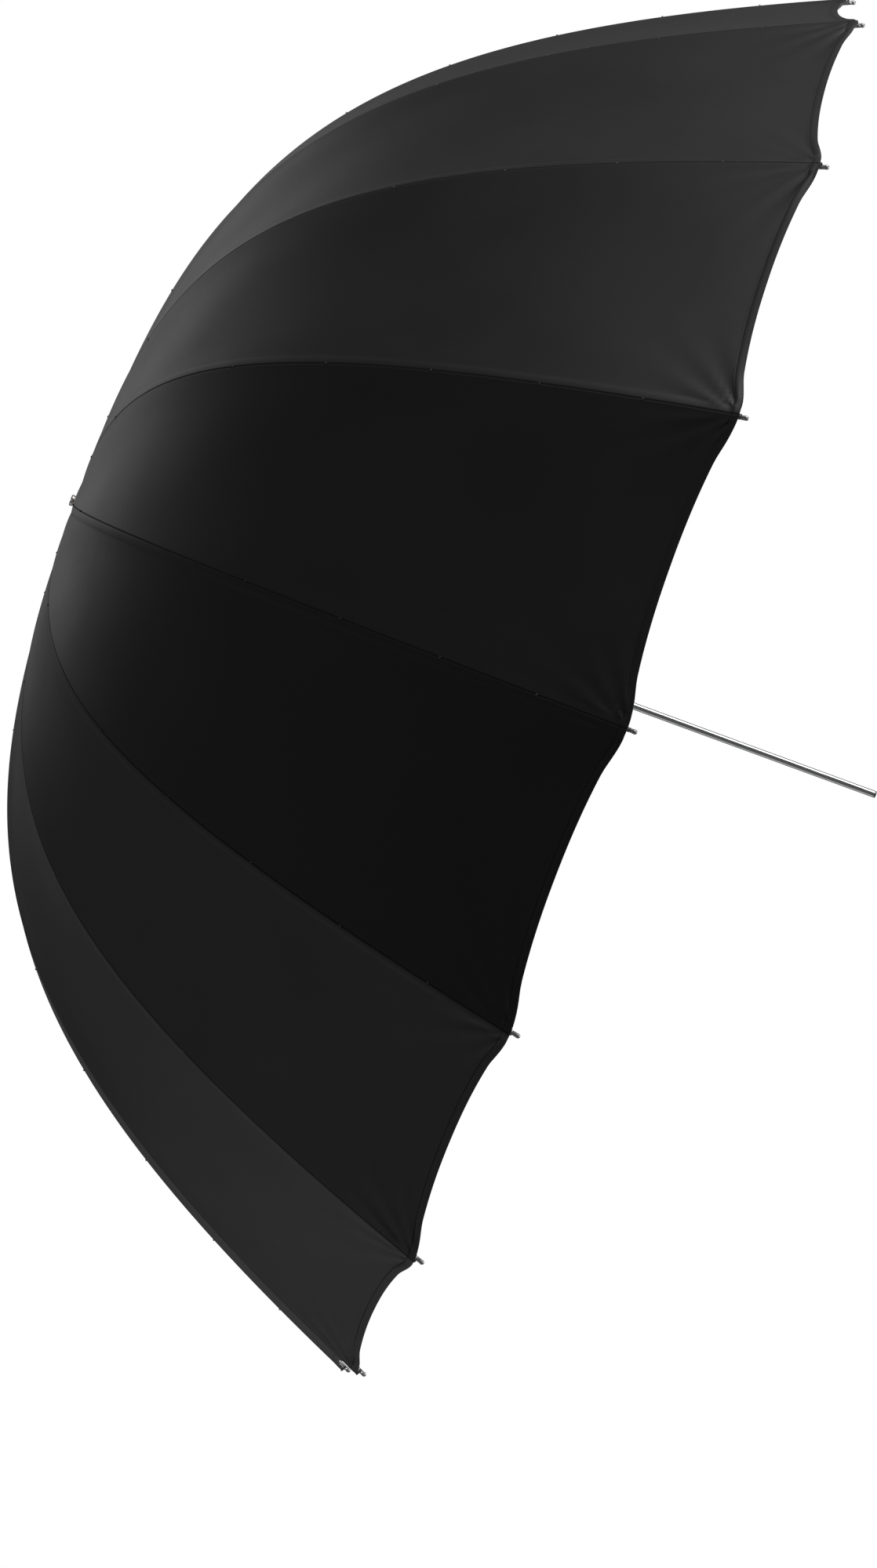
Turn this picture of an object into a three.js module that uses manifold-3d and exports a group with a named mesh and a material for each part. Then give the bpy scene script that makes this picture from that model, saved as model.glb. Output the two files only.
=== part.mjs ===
// Umbrella reflector, 165 cm, deep parabolic type with sixteen ribs, shown open.
// Millimetres, +Z up. The shaft lies along X, with the canopy's crown towards -X and the free end towards +X.
// The origin is on the shaft's axis, at the place where a light's bracket grips the shaft.
import * as THREE from 'three';
import { mergeVertices } from 'three/addons/utils/BufferGeometryUtils.js';
import Module from 'manifold-3d';

const wasm = await Module();
wasm.setup();

// ---- driving dimensions ----
const ribCount = 16;
const tipCircleRadius = 825; // the open reflector measures 1650 across its tips
const canopyDepth = 623.5; // rim plane to the cloth at the crown
const gripToRim = 238; // grip point to the rim plane, along the shaft
const shaftRadius = 4;
const shaftWall = 0.6;
const shaftFreeLength = 102; // grip point to the free end

const clothThickness = 1.2;
const hemScallop = 15.6; // how far the hem curves in between two tips
const clothHoleRadius = 3.4;
const crownFlatRadius = 16.5; // the cloth lies flat on the crown inside this
const rodDepth = 5; // cloth's outer face to the rib's centre line
const rodRadius = 1.75;

const pivotRadius = 17; // circle of rib pivots in the crown, and of strut pivots in the runner
const tongueThickness = 3;
const tongueHalfHeight = 2;
const slotWidth = 3.6;
const eyeRadius = 0.95;
const ringWireRadius = 0.6;

const jointArc = 400; // crown to the strut bracket, along the cloth
const bendArc = 412; // crown to the place where the rib flexes as it folds
const lugDepth = 8; // rib's centre line to the strut's pin
const pinRadius = 0.8;
const sleeveStartArc = 389;
const sleeveOutside = 2.2; // rib's centre line to the bracket's outer and inner faces
const sleeveInside = 3;
const sleeveWidth = 5.6;
const lugHalfHeight = 2.9;
const lugThickness = 2.4;
const eyeEndArc = 30;
const rodStartArc = 20;

const channelWidth = 4.6; // the struts are folded steel channels
const channelStart = 26; // runner pivot to the channel's near end
const channelWebStop = 14; // the web ends this far short of the strut's pin
const webHalfHeight = 0.6;
const cheekThickness = 0.8;
const tongueEnd = 34;
const runnerPinLength = 4.8;

const capRadius = 2.4; // turned cap on a rib's rim end
const capNeckRadius = 1.5;
const capBulbRadius = 2.3;
const capBack = 14;
const capFront = 12;

const discRadius = 21; // slotted discs of crown and runner
const crownSlotFloor = 13.5;
const runnerSlotFloor = 12.5;
const studRadius = 3;
const studLength = 8;
const neckRadius = 9; // of the runner's sleeve
const collarRadius = 11.5; // of the thumb collar on it
const runnerTail = 46; // strut pivots to the runner's lower end
const plugDepth = 12;
const plugHead = 1.5;
const catchSlotLength = 22;
const catchThickness = 1.4;

const running = 0.3; // gap between parts that meet

// ---- the rib's line: one Bezier from the crown to the rim, as radius and height above the rim plane ----
const clothLine = new THREE.CubicBezierCurve(
  new THREE.Vector2(crownFlatRadius, canopyDepth),
  new THREE.Vector2(426, 611),
  new THREE.Vector2(592, 538),
  new THREE.Vector2(tipCircleRadius + 4, 4),
);
const clothLength = clothLine.getLength();

// A point on the line at an arc length from the crown, pushed inwards by depth.
function linePoint(arc, depth) {
  const share = Math.min(arc / clothLength, 1);
  const point = clothLine.getPointAt(share);
  const along = clothLine.getTangentAt(share);
  const past = Math.max(arc - clothLength, 0);
  return new THREE.Vector2(
    point.x + along.y * depth + along.x * past,
    point.y - along.x * depth + along.y * past,
  );
}

// Radius and height to the XY plane of a rib that points along -Y.
function inRibPlane(point) {
  return new THREE.Vector2(-gripToRim - point.y, -point.x);
}

function ribPlanePoint(arc, depth) {
  return inRibPlane(linePoint(arc, depth));
}

const ribPivot = inRibPlane(new THREE.Vector2(pivotRadius, canopyDepth - rodDepth));
const strutPivot = ribPlanePoint(jointArc, rodDepth + lugDepth);
const strutLength = strutPivot.distanceTo(ribPivot);
// The strut is as long as the rib from its pivot to the bracket, so the runner's pivot mirrors the crown's.
const runnerPivot = new THREE.Vector2(2 * strutPivot.x - ribPivot.x, -pivotRadius);

// ---- solids ----
function solidFrom(geometry) {
  geometry.deleteAttribute('normal');
  geometry.deleteAttribute('uv');
  const merged = mergeVertices(geometry, 1e-4);
  return new wasm.Manifold(new wasm.Mesh({
    numProp: 3,
    vertProperties: new Float32Array(merged.attributes.position.array),
    triVerts: new Uint32Array(merged.index.array),
  }));
}

function geometryFrom(solid) {
  const mesh = solid.getMesh();
  const geometry = new THREE.BufferGeometry();
  geometry.setAttribute('position', new THREE.BufferAttribute(mesh.vertProperties, 3));
  geometry.setIndex(new THREE.BufferAttribute(mesh.triVerts, 1));
  geometry.computeVertexNormals();
  return geometry;
}

// A round bar or ring turned about the X axis; the profile lists [x, radius].
function turned(profile, segments) {
  const points = profile.map(([x, radius]) => new THREE.Vector2(radius, x));
  const geometry = new THREE.LatheGeometry(points, segments);
  geometry.rotateZ(-Math.PI / 2);
  return geometry;
}

// A flat outline in the XY plane made thickness thick, centred on the plane.
function plate(shape, thickness, curveSegments = 2) {
  const geometry = new THREE.ExtrudeGeometry(shape, { depth: thickness, bevelEnabled: false, curveSegments });
  geometry.translate(0, 0, -thickness / 2);
  return geometry;
}

// A bar with round ends between two points of the XY plane.
function linkShape(from, to, halfHeight) {
  const angle = Math.atan2(to.y - from.y, to.x - from.x);
  const shape = new THREE.Shape();
  shape.absarc(from.x, from.y, halfHeight, angle + Math.PI / 2, angle + 1.5 * Math.PI, false);
  shape.absarc(to.x, to.y, halfHeight, angle - Math.PI / 2, angle + Math.PI / 2, false);
  shape.closePath();
  return shape;
}

// The same bar with square ends, and fewer corners.
function barShape(from, to, halfHeight) {
  const along = to.clone().sub(from).normalize();
  const side = new THREE.Vector2(-along.y, along.x).multiplyScalar(halfHeight);
  return new THREE.Shape([
    from.clone().sub(side), to.clone().sub(side), to.clone().add(side), from.clone().add(side),
  ]);
}

function roundHole(shape, centre, radius) {
  const hole = new THREE.Path();
  hole.absarc(centre.x, centre.y, radius, 0, 2 * Math.PI, true);
  shape.holes.push(hole);
  return shape;
}

function box(lengthX, lengthY, lengthZ, x, y, z) {
  const geometry = new THREE.BoxGeometry(lengthX, lengthY, lengthZ);
  geometry.translate(x, y, z);
  return geometry;
}

// A round pin across the rib's plane.
function crossPin(centre, radius, length) {
  const geometry = new THREE.CylinderGeometry(radius, radius, length, 6);
  geometry.rotateX(Math.PI / 2);
  geometry.translate(centre.x, centre.y, 0);
  return geometry;
}

function aroundShaft(solid, index) {
  return solid.rotate([(-360 * index) / ribCount, 0, 0]);
}

// ---- ribs ----
class RibLine extends THREE.Curve {
  constructor(fromArc, toArc) {
    super();
    this.fromArc = fromArc;
    this.toArc = toArc;
  }

  getPoint(share, target = new THREE.Vector3()) {
    const point = ribPlanePoint(THREE.MathUtils.lerp(this.fromArc, this.toArc, share), rodDepth);
    return target.set(point.x, point.y, 0);
  }
}

function rod(fromArc, toArc, steps) {
  const section = new THREE.Shape();
  section.absarc(0, 0, rodRadius, 0, 2 * Math.PI, false);
  return new THREE.ExtrudeGeometry(section, {
    steps,
    curveSegments: 3,
    bevelEnabled: false,
    extrudePath: new RibLine(fromArc, toArc),
  });
}

// The flat steel eye crimped on the rib's inner end.
function ribEye() {
  const far = ribPlanePoint(eyeEndArc, rodDepth);
  const shape = roundHole(linkShape(ribPivot, far, tongueHalfHeight), ribPivot, eyeRadius);
  return plate(shape, tongueThickness);
}

// The moulded bracket that the strut is pinned to: a sleeve on the rod and a lug inside it.
function strutBracket() {
  const near = ribPlanePoint(sleeveStartArc, rodDepth);
  const far = ribPlanePoint(bendArc - running, rodDepth);
  const along = far.clone().sub(near).normalize();
  const inwards = new THREE.Vector2(along.y, -along.x);
  if (inwards.dot(strutPivot.clone().sub(near)) < 0) inwards.negate();
  const corner = (end, depth) => end.clone().addScaledVector(inwards, depth);
  const sleeve = new THREE.Shape([
    corner(near, -sleeveOutside), corner(far, -sleeveOutside),
    corner(far, sleeveInside), corner(near, sleeveInside),
  ]);
  const root = ribPlanePoint(jointArc, rodDepth + 2);
  const lug = roundHole(linkShape(root, strutPivot, lugHalfHeight), strutPivot, eyeRadius + 0.15);
  return solidFrom(plate(sleeve, sleeveWidth)).add(solidFrom(plate(lug, lugThickness)));
}

function innerRib() {
  const bar = solidFrom(rod(rodStartArc, bendArc - running, 7));
  return geometryFrom(bar.add(solidFrom(ribEye())).add(strutBracket()));
}

// The rim end of a rib: a small turned cap with a neck for the thread and a round end.
function ribTip() {
  const profile = [
    [-capBack, 0], [-capBack, capRadius], [0, capRadius], [capFront - 10, capNeckRadius],
    [capFront - 6, capNeckRadius], [capFront - 4, capBulbRadius], [capFront - 1, capBulbRadius - 0.3],
    [capFront, 0],
  ];
  const cap = turned(profile, 6);
  const end = ribPlanePoint(clothLength, rodDepth);
  const back = ribPlanePoint(clothLength - 10, rodDepth);
  cap.rotateZ(Math.atan2(end.y - back.y, end.x - back.x));
  cap.translate(end.x, end.y, 0);
  return solidFrom(cap);
}

function outerRib() {
  const bar = solidFrom(rod(bendArc + running, clothLength, 9));
  return geometryFrom(bar.add(ribTip()));
}

// ---- struts (the stretchers between the runner and the ribs) ----
function strut() {
  const along = strutPivot.clone().sub(runnerPivot).normalize();
  const at = (distance) => runnerPivot.clone().addScaledVector(along, distance);
  const cheekShape = linkShape(at(channelStart), strutPivot, tongueHalfHeight);
  const webShape = barShape(at(channelStart), at(strutLength - channelWebStop), webHalfHeight);
  const web = plate(webShape, channelWidth - cheekThickness);
  const offset = (channelWidth - cheekThickness) / 2;
  const cheek = (side) => solidFrom(plate(cheekShape, cheekThickness).translate(0, 0, side * offset));
  const tongue = plate(linkShape(runnerPivot, at(tongueEnd), tongueHalfHeight), tongueThickness);
  return geometryFrom(
    cheek(1)
      .add(cheek(-1))
      .add(solidFrom(web))
      .add(solidFrom(tongue))
      .add(solidFrom(crossPin(strutPivot, pinRadius, channelWidth + 1)))
      .add(solidFrom(crossPin(runnerPivot, pinRadius, runnerPinLength))),
  );
}
// ---- canopy: one sewn cover of flat gores, drawn tight from rib to rib, with a scalloped hem ----
const acrossSteps = 2; // flat strips in a gore
const alongSteps = 18;

// A point of the cloth over a rib, or of its inner face when depth is the cloth's thickness.
function clothPoint(index, arc, depth) {
  const point = linePoint(arc, depth);
  const angle = (2 * Math.PI * index) / ribCount;
  return new THREE.Vector3(-gripToRim - point.y, -point.x * Math.cos(angle), point.x * Math.sin(angle));
}

// One line of points from the hole at the crown to the hem, share of the way from a rib to the next.
function clothColumn(index, share, depth) {
  const length = clothLength - hemScallop * 4 * share * (1 - share);
  const between = (arc) => clothPoint(index, arc, depth).lerp(clothPoint(index + 1, arc, depth), share);
  const centre = new THREE.Vector3(-gripToRim - canopyDepth + depth, 0, 0);
  const column = [centre.lerp(between(0), clothHoleRadius / crownFlatRadius)];
  for (let step = 0; step <= alongSteps; step += 1) column.push(between((length * step) / alongSteps));
  return column;
}

function canopy() {
  const columns = ribCount * acrossSteps;
  const rows = alongSteps + 2;
  const points = [];
  for (const depth of [0, clothThickness]) {
    for (let column = 0; column < columns; column += 1) {
      const index = Math.floor(column / acrossSteps);
      points.push(...clothColumn(index, (column % acrossSteps) / acrossSteps, depth));
    }
  }
  const inner = columns * rows;
  const at = (column, row) => (column % columns) * rows + row;
  const triangles = [];
  const quad = (a, b, c, d) => triangles.push(a, c, b, a, d, c);
  for (let column = 0; column < columns; column += 1) {
    for (let row = 0; row < rows - 1; row += 1) {
      const corners = [at(column, row), at(column + 1, row), at(column + 1, row + 1), at(column, row + 1)];
      quad(...corners);
      quad(...corners.map((corner) => corner + inner).reverse());
    }
    const last = rows - 1;
    quad(at(column, last), at(column + 1, last), at(column + 1, last) + inner, at(column, last) + inner);
    quad(at(column + 1, 0), at(column, 0), at(column, 0) + inner, at(column + 1, 0) + inner);
  }
  const geometry = new THREE.BufferGeometry().setFromPoints(points);
  geometry.setIndex(triangles);
  geometry.computeVertexNormals();
  return geometry;
}

// ---- shaft, crown, ferrule and runner ----
const crownTop = -gripToRim - canopyDepth + clothThickness + running;

// A slotted disc's slots, cut for every rib from slotFloor outwards.
function cutSlots(solid, fromX, toX, slotFloor) {
  const cutter = solidFrom(box(toX - fromX, 20, slotWidth, (fromX + toX) / 2, -slotFloor - 10, 0));
  let cut = solid;
  for (let index = 0; index < ribCount; index += 1) cut = cut.subtract(aroundShaft(cutter, index));
  return cut;
}

function ringAt(x, tubeRadius, tubeSides) {
  const geometry = new THREE.TorusGeometry(pivotRadius, tubeRadius, tubeSides, 48);
  geometry.rotateY(Math.PI / 2);
  geometry.translate(x, 0, 0);
  return geometry;
}

function crown() {
  const profile = [
    [crownTop - studLength, 0], [crownTop - studLength, studRadius], [crownTop, studRadius],
    [crownTop, discRadius],
    [crownTop + 10, discRadius], [crownTop + 12, 10], [crownTop + 18, 9],
    [crownTop + 18, shaftRadius + running], [crownTop + 6, shaftRadius + running], [crownTop + 6, 0],
  ];
  const body = solidFrom(turned(profile, 32));
  const slotted = cutSlots(body, crownTop - 1, crownTop + 13, crownSlotFloor);
  return geometryFrom(slotted.subtract(solidFrom(ringAt(ribPivot.x, ringWireRadius + running, 6))));
}

function ferrule() {
  const outside = -gripToRim - canopyDepth - running;
  const profile = [
    [outside - 8.2, 0], [outside - 8.2, 5.6], [outside - 7.4, 6.4], [outside - 4.6, 6.4],
    [outside - 4.2, 5.7], [outside - 3.4, 5.7], [outside - 3, 8], [outside, 8],
    [outside, studRadius + running], [outside - 6.5, studRadius + running], [outside - 6.5, 0],
  ];
  return turned(profile, 32);
}

const shaftTop = crownTop + 6 + running;
const catchStep = runnerPivot.x + runnerTail + running; // where the runner's lower end rests on the catch

function shaftTube() {
  const bore = shaftRadius - shaftWall;
  const freeEnd = shaftFreeLength - plugHead - running;
  const profile = [
    [shaftTop, bore], [shaftTop, shaftRadius], [freeEnd, shaftRadius], [freeEnd, bore], [shaftTop, bore],
  ];
  const slot = box(catchSlotLength, 2.2, 4, catchStep + catchSlotLength / 2 - 1, 0, -shaftRadius);
  return geometryFrom(solidFrom(turned(profile, 24)).subtract(solidFrom(slot)));
}

// A sheared steel wedge in the tube's slot, on a spring tail; its step holds the open runner.
function shaftCatch() {
  const shape = new THREE.Shape();
  shape.moveTo(catchStep, -shaftRadius + 1.6);
  shape.lineTo(catchStep, -shaftRadius - 2);
  shape.lineTo(catchStep + 2, -shaftRadius - 2.2);
  shape.lineTo(catchStep + 18, -shaftRadius + 0.2);
  shape.lineTo(catchStep + 20, -shaftRadius + 1);
  shape.lineTo(catchStep + 40, -shaftRadius + 1);
  shape.lineTo(catchStep + 40, -shaftRadius + 1.6);
  const geometry = plate(shape, catchThickness);
  geometry.rotateX(Math.PI / 2);
  return geometry;
}

function endPlug() {
  const end = shaftFreeLength;
  const bore = shaftRadius - shaftWall - running;
  const profile = [
    [end - plugDepth, 0], [end - plugDepth, bore], [end - plugHead, bore], [end - plugHead, shaftRadius],
    [end - 0.5, shaftRadius - 0.3], [end, shaftRadius - 1], [end, 0],
  ];
  return turned(profile, 24);
}

function runner() {
  const x = runnerPivot.x;
  const bore = shaftRadius + running + 0.05;
  const profile = [
    [x - 9, bore], [x - 9, neckRadius], [x - 5.5, 10], [x - 5.5, discRadius], [x + 5.5, discRadius],
    [x + 5.5, 10], [x + 9, neckRadius], [x + 30, neckRadius], [x + 33, collarRadius], [x + 44, collarRadius],
    [x + runnerTail, 10], [x + runnerTail, bore], [x - 9, bore],
  ];
  let solid = cutSlots(solidFrom(turned(profile, 32)), x - 7, x + 7, runnerSlotFloor);
  const grooveLength = runnerPinLength + 2 * running;
  const groove = solidFrom(box(14, 2 * (pinRadius + running), grooveLength, x, -pivotRadius, 0));
  for (let index = 0; index < ribCount; index += 1) solid = solid.subtract(aroundShaft(groove, index));
  return geometryFrom(solid);
}

// ---- finishes ----
const finishes = {
  blackCloth: { color: 0x17171a, roughness: 0.62, metalness: 0 },
  chromedSteel: { color: 0xc9ccd0, roughness: 0.2, metalness: 1 },
  nickelledBrass: { color: 0xb9b6ae, roughness: 0.28, metalness: 1 },
  blackFibreglass: { color: 0x141414, roughness: 0.45, metalness: 0 },
  zincedSteel: { color: 0x9a9da1, roughness: 0.4, metalness: 1 },
  blackNylon: { color: 0x1b1b1c, roughness: 0.55, metalness: 0 },
};

const reflector = new THREE.Group();

function addPiece(name, geometry, finish, parent = reflector) {
  const mesh = new THREE.Mesh(geometry, new THREE.MeshStandardMaterial(finishes[finish]));
  mesh.name = name;
  parent.add(mesh);
}

addPiece('canopy', canopy(), 'blackCloth');
addPiece('shaft_tube', shaftTube(), 'chromedSteel');
addPiece('end_plug', endPlug(), 'blackNylon');
addPiece('ferrule', ferrule(), 'nickelledBrass');
addPiece('crown', crown(), 'blackNylon');
addPiece('crown_ring', ringAt(ribPivot.x, ringWireRadius, 5), 'zincedSteel');
addPiece('runner', runner(), 'blackNylon');
addPiece('catch_spring', shaftCatch(), 'zincedSteel');

const innerRibGeometry = innerRib();
const outerRibGeometry = outerRib();
const strutGeometry = strut();
for (let index = 0; index < ribCount; index += 1) {
  const spoke = new THREE.Group();
  spoke.rotation.x = (-2 * Math.PI * index) / ribCount;
  const label = String(index + 1).padStart(2, '0');
  addPiece(`rib_inner_${label}`, innerRibGeometry, 'blackFibreglass', spoke);
  addPiece(`rib_outer_${label}`, outerRibGeometry, 'blackFibreglass', spoke);
  addPiece(`stretcher_${label}`, strutGeometry, 'zincedSteel', spoke);
  reflector.add(spoke);
}

export default reflector;
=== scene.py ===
# Deep round umbrella reflector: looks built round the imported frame, in metres.
import math

import bpy
import numpy as np
from mathutils import Matrix, Quaternion, Vector


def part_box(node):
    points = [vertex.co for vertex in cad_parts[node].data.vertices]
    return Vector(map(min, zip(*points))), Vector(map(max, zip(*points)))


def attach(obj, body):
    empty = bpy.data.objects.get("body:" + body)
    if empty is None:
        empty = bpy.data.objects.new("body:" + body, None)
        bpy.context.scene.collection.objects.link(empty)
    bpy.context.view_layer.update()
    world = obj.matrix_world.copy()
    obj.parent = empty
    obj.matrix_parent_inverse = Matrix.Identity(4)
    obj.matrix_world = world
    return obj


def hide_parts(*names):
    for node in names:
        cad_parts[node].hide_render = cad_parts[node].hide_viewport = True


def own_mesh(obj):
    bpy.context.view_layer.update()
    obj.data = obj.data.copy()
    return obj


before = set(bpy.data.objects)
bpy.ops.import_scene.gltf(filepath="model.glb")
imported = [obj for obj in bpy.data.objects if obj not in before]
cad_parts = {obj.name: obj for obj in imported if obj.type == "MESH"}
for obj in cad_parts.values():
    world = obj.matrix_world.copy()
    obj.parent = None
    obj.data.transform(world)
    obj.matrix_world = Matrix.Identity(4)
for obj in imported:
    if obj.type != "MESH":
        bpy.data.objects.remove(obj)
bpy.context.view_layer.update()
mm = 0.001
ribTotal = 16
ribStep = 2 * math.pi / ribTotal

# The cloth's line over a rib runs from the crown to the rim; the CAD canopy's box gives both ends.
clothLow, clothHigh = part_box("canopy")
clothLine = {
    "flatRadius": 16.5 * mm,  # the cloth lies flat on the crown inside this
    "shoulder": (12.5 * mm, 426 * mm),  # how far below the crown, and radius, of the two pull points
    "skirt": (85.5 * mm, 592 * mm),
    "steps": 4000,
}
ribLayout = {
    "rodDepth": 5 * mm,  # cloth's outer face to the rod's centre
    "rodRadius": 1.75 * mm,
    "jointArc": 400 * mm,  # crown to the strut's bracket, along the cloth
    "bendArc": 412 * mm,  # crown to the place where the rib flexes
    "lugDepth": 8 * mm,
    "pivotRadius": 17 * mm,
}


def makeClothLine():
    share = np.linspace(0, 1, clothLine["steps"])[:, None]
    start = np.array([clothLow.x, clothLine["flatRadius"]])
    shoulder = np.array([clothLow.x + clothLine["shoulder"][0], clothLine["shoulder"][1]])
    skirt = np.array([clothLow.x + clothLine["skirt"][0], clothLine["skirt"][1]])
    end = np.array([clothHigh.x, clothHigh.z])
    points = ((1 - share) ** 3 * start + 3 * (1 - share) ** 2 * share * shoulder
              + 3 * (1 - share) * share ** 2 * skirt + share ** 3 * end)
    arcs = np.concatenate([[0], np.cumsum(np.hypot(*np.diff(points, axis=0).T))])
    along = np.gradient(points, arcs, axis=0)
    along /= np.hypot(*along.T)[:, None]
    return points, arcs, along


linePoints, lineArcs, lineAlong = makeClothLine()
clothLength = float(lineArcs[-1])


# Distance along the shaft and radius of a point on the cloth's line, pushed inwards by depth.
def linePoint(arc, depth=0.0):
    x = np.interp(arc, lineArcs, linePoints[:, 0])
    radius = np.interp(arc, lineArcs, linePoints[:, 1])
    alongX = np.interp(arc, lineArcs, lineAlong[:, 0])
    alongRadius = np.interp(arc, lineArcs, lineAlong[:, 1])
    before = np.minimum(arc, 0)
    past = np.maximum(arc - clothLength, 0)
    x = x + alongRadius * depth + alongX * past
    radius = radius - alongX * depth + alongRadius * past + before
    return x, radius


def ribPoint(arc, depth=0.0):
    x, radius = linePoint(arc, depth)
    return Vector((float(x), -float(radius), 0))


ribPivot = ribPoint(0, ribLayout["rodDepth"])
ribPivot.y = -ribLayout["pivotRadius"]
strutPivot = ribPoint(ribLayout["jointArc"], ribLayout["rodDepth"] + ribLayout["lugDepth"])
runnerPivot = Vector((2 * strutPivot.x - ribPivot.x, -ribLayout["pivotRadius"], 0))
print("frame read, cloth line", round(clothLength, 4), "m")


# Side view, from a little towards the crown.
cameraSetup = {
    "place": (-0.50526, -4.97677, 0.13623),
    "aim": (-0.36869, 0, -0.15926),
    "roll": 20.175,  # degrees, the crown up
    "lens": 100.82,
    "sensor": 36,
}


def addCamera():
    place = Vector(cameraSetup["place"])
    view = (Vector(cameraSetup["aim"]) - place).to_track_quat("-Z", "Y")
    roll = Quaternion((0, 0, 1), math.radians(cameraSetup["roll"]))
    data = bpy.data.cameras.new("camera")
    data.lens = cameraSetup["lens"]
    data.sensor_width = cameraSetup["sensor"]
    camera = bpy.data.objects.new("camera", data)
    camera.rotation_mode = "QUATERNION"
    camera.rotation_quaternion = view @ roll
    camera.location = place
    bpy.context.collection.objects.link(camera)
    bpy.context.scene.camera = camera


addCamera()


def objectMode():
    if bpy.context.mode != "OBJECT":
        bpy.ops.object.mode_set(mode="OBJECT")


def pick(*pieces):
    objectMode()
    bpy.ops.object.select_all(action="DESELECT")
    for piece in pieces:
        piece.select_set(True)
    bpy.context.view_layer.objects.active = pieces[-1]


def newPiece(name):
    piece = bpy.context.object
    piece.name = name
    piece.data.name = name
    return piece


# Puts the place in the mesh, so that the object sits at the origin.
def settle(piece):
    pick(piece)
    bpy.ops.object.transform_apply(location=True, rotation=True, scale=True)
    return piece


def finishWith(piece, kind, **values):
    pick(piece)
    modifier = piece.modifiers.new(kind.lower(), kind)
    for key, value in values.items():
        setattr(modifier, key, value)
    bpy.ops.object.modifier_apply(modifier=modifier.name)
    return piece


def roundEdges(piece, width, segments=2, angle=30):
    return finishWith(piece, "BEVEL", width=width, segments=segments, limit_method="ANGLE",
                      angle_limit=math.radians(angle))


def smooth(piece, angle=35):
    pick(piece)
    bpy.ops.object.shade_smooth_by_angle(angle=math.radians(angle))
    return piece


def cutWith(piece, cutter):
    finishWith(piece, "BOOLEAN", operation="DIFFERENCE", object=cutter, solver="EXACT")
    bpy.data.objects.remove(cutter)
    return piece


def joined(pieces, name):
    pick(*pieces)
    bpy.ops.object.join()
    return newPiece(name)


def fixNormals(piece):
    pick(piece)
    bpy.ops.object.mode_set(mode="EDIT")
    bpy.ops.mesh.select_all(action="SELECT")
    bpy.ops.mesh.remove_doubles(threshold=1e-6)
    bpy.ops.mesh.normals_make_consistent(inside=False)
    objectMode()
    return piece


# A turned piece: its profile is drawn point by point from one corner, then spun about the shaft's axis.
def turnedPiece(name, profile, segments=48):
    bpy.ops.mesh.primitive_plane_add(size=mm)
    piece = newPiece(name)
    bpy.ops.object.mode_set(mode="EDIT")
    bpy.ops.mesh.select_all(action="SELECT")
    bpy.ops.mesh.merge(type="CENTER")
    objectMode()
    piece.data.vertices[0].co = (profile[0][0], 0, profile[0][1])
    for before, after in zip(profile, profile[1:]):
        pick(piece)
        last = len(piece.data.vertices) - 1
        for vertex in piece.data.vertices:
            vertex.select = vertex.index == last
        bpy.ops.object.mode_set(mode="EDIT")
        step = (after[0] - before[0], 0, after[1] - before[1])
        bpy.ops.mesh.extrude_region_move(TRANSFORM_OT_translate={"value": step})
        objectMode()
    pick(piece)
    bpy.ops.object.mode_set(mode="EDIT")
    bpy.ops.mesh.select_all(action="SELECT")
    bpy.ops.mesh.spin(steps=segments, angle=2 * math.pi, center=(0, 0, 0), axis=(1, 0, 0))
    return fixNormals(piece)


# A flat plate: a disc whose corners are moved to the outline, then extruded both ways from the rib's plane.
def platePiece(name, outline, thickness):
    bpy.ops.mesh.primitive_circle_add(vertices=len(outline), radius=mm, fill_type="NGON")
    piece = newPiece(name)
    for vertex, (x, y) in zip(piece.data.vertices, outline):
        vertex.co = (x, y, -thickness / 2)
    bpy.ops.object.mode_set(mode="EDIT")
    bpy.ops.mesh.select_all(action="SELECT")
    bpy.ops.mesh.extrude_region_move(TRANSFORM_OT_translate={"value": (0, 0, thickness)})
    return fixNormals(piece)


# Outline of a bar with round ends between two points of the rib's plane.
def linkOutline(start, end, halfHeight, arcSteps=8):
    turn = math.atan2(end.y - start.y, end.x - start.x)
    outline = []
    for centre, first in ((start, turn + math.pi / 2), (end, turn - math.pi / 2)):
        for step in range(arcSteps + 1):
            angle = first + math.pi * step / arcSteps
            outline.append((centre.x + halfHeight * math.cos(angle), centre.y + halfHeight * math.sin(angle)))
    return outline


# A round bar across the rib's plane.
def crossBar(name, centre, radius, length, vertices=20):
    bpy.ops.mesh.primitive_cylinder_add(vertices=vertices, radius=radius, depth=length, location=centre)
    return settle(newPiece(name))


# A block set along a line of the rib's plane.
def blockAlong(name, middle, along, size):
    bpy.ops.mesh.primitive_cube_add(size=1, location=middle, rotation=(0, 0, math.atan2(along.y, along.x)))
    piece = newPiece(name)
    piece.scale = size
    return settle(piece)


def turnRound(piece, index):
    piece.data.transform(Matrix.Rotation(-ribStep * index, 4, "X"))
    return piece


# One copy of a finished model for each rib, each with its own mesh, riding on that rib's body.
def copyRound(model, body, node=None):
    base = model.name
    model.name = base + "_model"
    for index in range(ribTotal):
        label = f"{index + 1:02d}"
        twin = bpy.data.objects.new(f"{base}_{label}", model.data.copy())
        bpy.context.collection.objects.link(twin)
        turnRound(twin, index)
        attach(twin, f"{body}_{label}")
        if node:
            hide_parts(f"{node}_{label}")
    bpy.data.objects.remove(model)


# Links a socket, or sets a number, colour or vector on it.
def nodeInput(tree, value, socket):
    if isinstance(value, bpy.types.NodeSocket):
        tree.links.new(value, socket)
    elif value is not None:
        socket.default_value = value


def addMath(tree, operation, first, second=None, third=None):
    node = tree.nodes.new("ShaderNodeMath")
    node.operation = operation
    for value, socket in zip((first, second, third), node.inputs):
        nodeInput(tree, value, socket)
    return node.outputs[0]


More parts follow.
